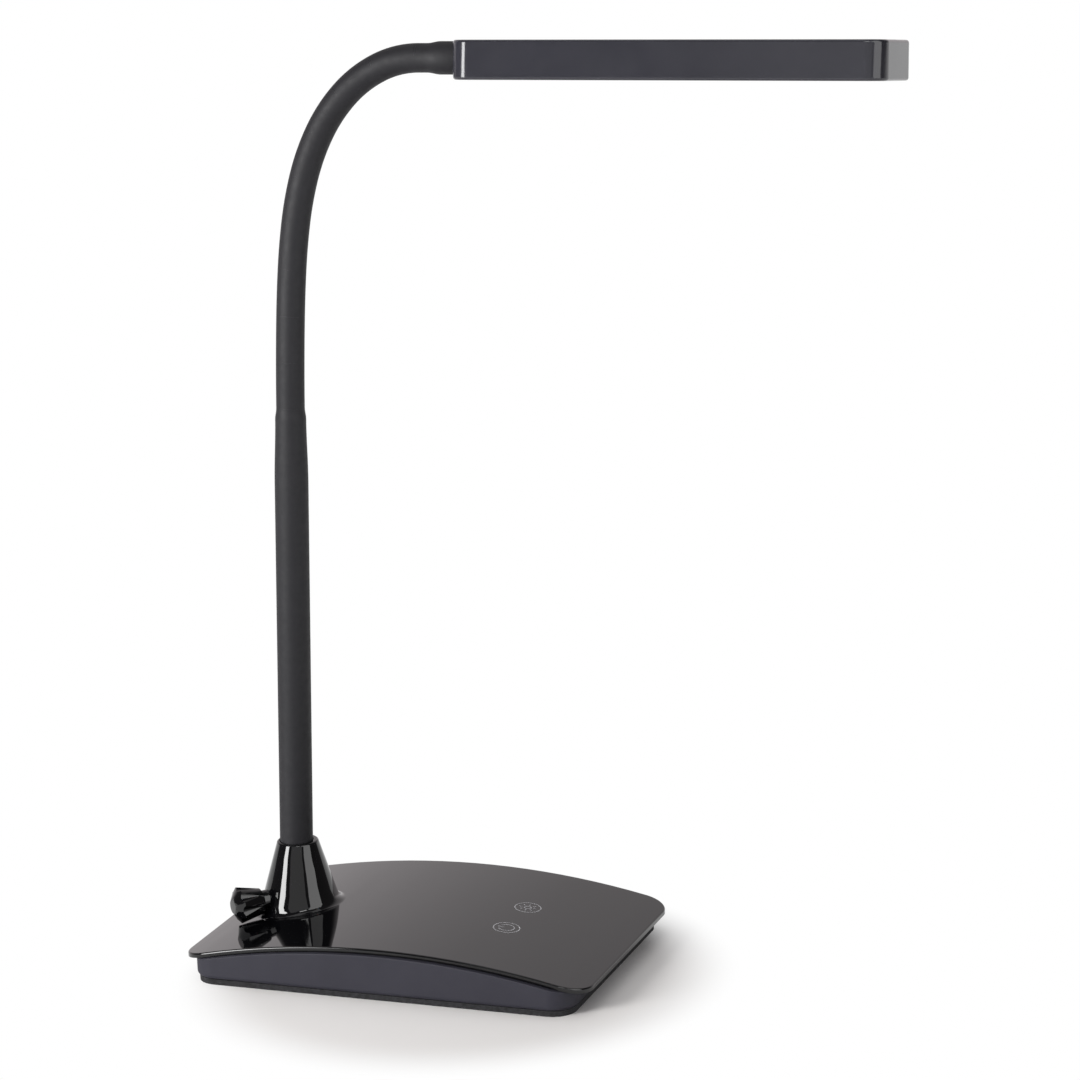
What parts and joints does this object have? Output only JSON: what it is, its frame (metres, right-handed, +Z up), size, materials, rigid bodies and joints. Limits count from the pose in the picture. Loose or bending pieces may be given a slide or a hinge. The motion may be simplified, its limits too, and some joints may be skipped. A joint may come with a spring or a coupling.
{
  "type": "gooseneck desk lamp",
  "caption": "Gooseneck desk lamp: flat rounded LED head on a soft-sleeved flexible neck, in a cone with a fluted clamp knob on an arched glossy base with touch marks.",
  "frame": {"origin": "centre of the base footprint, on the desk", "axes": "+Z up, +X from the arm towards the free end of the head and the user, +Y to the side with the power inlet"},
  "size_m": [0.3096, 0.125, 0.4048],
  "materials": {
    "piano_black": "gloss",
    "housing_plastic": "matte",
    "foam": "matte",
    "soft_touch": "matte",
    "head_plastic": "satin",
    "bezel_plastic": "satin",
    "opal": "frosted",
    "zinc_steel": "satin",
    "ballast_steel": "oiled",
    "tube_steel": "satin",
    "brass": "turned",
    "nylon": "satin",
    "board": "satin",
    "white_board": "satin",
    "chips": "satin",
    "led_yellow": "gloss",
    "spreader": "satin",
    "cable_sheath": "satin",
    "electrode_foam": "matte",
    "jack_plastic": "satin"
  },
  "bodies": {
    "base": {"base_cover": "piano_black", "base_housing": "housing_plastic", "ballast_plate": "ballast_steel", "base_pad": "foam", "control_board": "board", "driver_components": "chips", "touch_electrodes": "electrode_foam", "power_jack": "jack_plastic", "base_screws": "zinc_steel", "ballast_screws": "zinc_steel", "board_screws": "zinc_steel", "base_wires": "cable_sheath", "jack_wires": "cable_sheath", "tube_bush": "nylon", "wave_washer": "zinc_steel", "stud_insert": "brass"},
    "clamp": {"clamp_pad": "nylon"},
    "knob": {"lock_knob": "piano_black", "lock_stud": "zinc_steel"},
    "arm": {"arm_tube": "tube_steel", "tube_cable": "cable_sheath", "lower_sleeve": "soft_touch", "gooseneck_root": "tube_steel", "tube_retainer": "zinc_steel"},
    "link_1": {"sleeve_1": "soft_touch", "core_1": "tube_steel", "cable_1": "cable_sheath"},
    "link_2": {"sleeve_2": "soft_touch", "core_2": "tube_steel", "cable_2": "cable_sheath"},
    "link_3": {"sleeve_3": "soft_touch", "core_3": "tube_steel", "cable_3": "cable_sheath"},
    "link_4": {"sleeve_4": "soft_touch", "core_4": "tube_steel", "cable_4": "cable_sheath"},
    "link_5": {"sleeve_5": "soft_touch", "core_5": "tube_steel", "cable_5": "cable_sheath"},
    "link_6": {"sleeve_6": "soft_touch", "core_6": "tube_steel", "cable_6": "cable_sheath"},
    "link_7": {"sleeve_7": "soft_touch", "core_7": "tube_steel", "cable_7": "cable_sheath"},
    "link_8": {"sleeve_8": "soft_touch", "core_8": "tube_steel", "cable_8": "cable_sheath"},
    "head": {"head_sleeve": "soft_touch", "head_spigot": "tube_steel", "spigot_clamp": "zinc_steel", "head_shell": "head_plastic", "head_bezel": "bezel_plastic", "diffuser": "opal", "led_board": "white_board", "leds": "led_yellow", "heat_spreader": "spreader", "head_screws": "zinc_steel", "head_wires": "cable_sheath", "head_cable": "cable_sheath"}
  },
  "joints": [
    {"name": "arm_swivel", "type": "hinge", "parent": "base", "child": "arm", "pos_m": [-0.0621, 0, 0.0476], "axis": [0.0419, 0, 0.9991], "range_deg": [-150, 150]},
    {"name": "clamp_travel", "type": "slide", "parent": "base", "child": "clamp", "axis": [-0.6691, -0.7431, 0], "range_m": [0, 0.0008]},
    {"name": "knob_turn", "type": "hinge", "parent": "clamp", "child": "knob", "pos_m": [-0.07534, -0.01353, 0.0223], "axis": [-0.6691, -0.7431, 0], "range_deg": [0, 360]},
    {"name": "neck_1_nod", "type": "hinge", "parent": "arm", "child": "link_1", "pos_m": [-0.05339, 0, 0.25545], "axis": [0, 0.9993, -0.0361], "range_deg": [-30, 30]},
    {"name": "neck_2_sway", "type": "hinge", "parent": "link_1", "child": "link_2", "pos_m": [-0.05255, 0.00072, 0.27542], "axis": [-0.9991, 0.003, 0.0418], "range_deg": [-28, 28]},
    {"name": "neck_3_nod", "type": "hinge", "parent": "link_2", "child": "link_3", "pos_m": [-0.05171, 0.00216, 0.29535], "axis": [0, 0.9942, -0.108], "range_deg": [-30, 30]},
    {"name": "neck_4_sway", "type": "hinge", "parent": "link_3", "child": "link_4", "pos_m": [-0.05051, 0.00432, 0.3152], "axis": [-0.9954, 0.0103, 0.0949], "range_deg": [-28, 28]},
    {"name": "neck_5_nod", "type": "hinge", "parent": "link_4", "child": "link_5", "pos_m": [-0.0479, 0.00646, 0.33491], "axis": [0, 0.9942, -0.108], "range_deg": [-39, 20]},
    {"name": "neck_6_sway", "type": "hinge", "parent": "link_5", "child": "link_6", "pos_m": [-0.04265, 0.00854, 0.3541], "axis": [-0.933, 0.0389, 0.3578], "range_deg": [-26, 26]},
    {"name": "neck_7_nod", "type": "hinge", "parent": "link_6", "child": "link_7", "pos_m": [-0.03358, 0.01047, 0.37181], "axis": [0, 0.9942, -0.108], "range_deg": [-45, 14]},
    {"name": "neck_8_sway", "type": "hinge", "parent": "link_7", "child": "link_8", "pos_m": [-0.01988, 0.01204, 0.38631], "axis": [-0.5924, 0.087, 0.8009], "range_deg": [-24, 24]},
    {"name": "neck_9_nod", "type": "hinge", "parent": "link_8", "child": "head", "pos_m": [-0.00188, 0.01298, 0.39498], "axis": [0, 0.9942, -0.108], "range_deg": [-50, 6]}
  ],
  "couplings": [
    {"joint": "knob_turn", "follows": "clamp_travel", "rad_per_m": 7854}
  ]
}
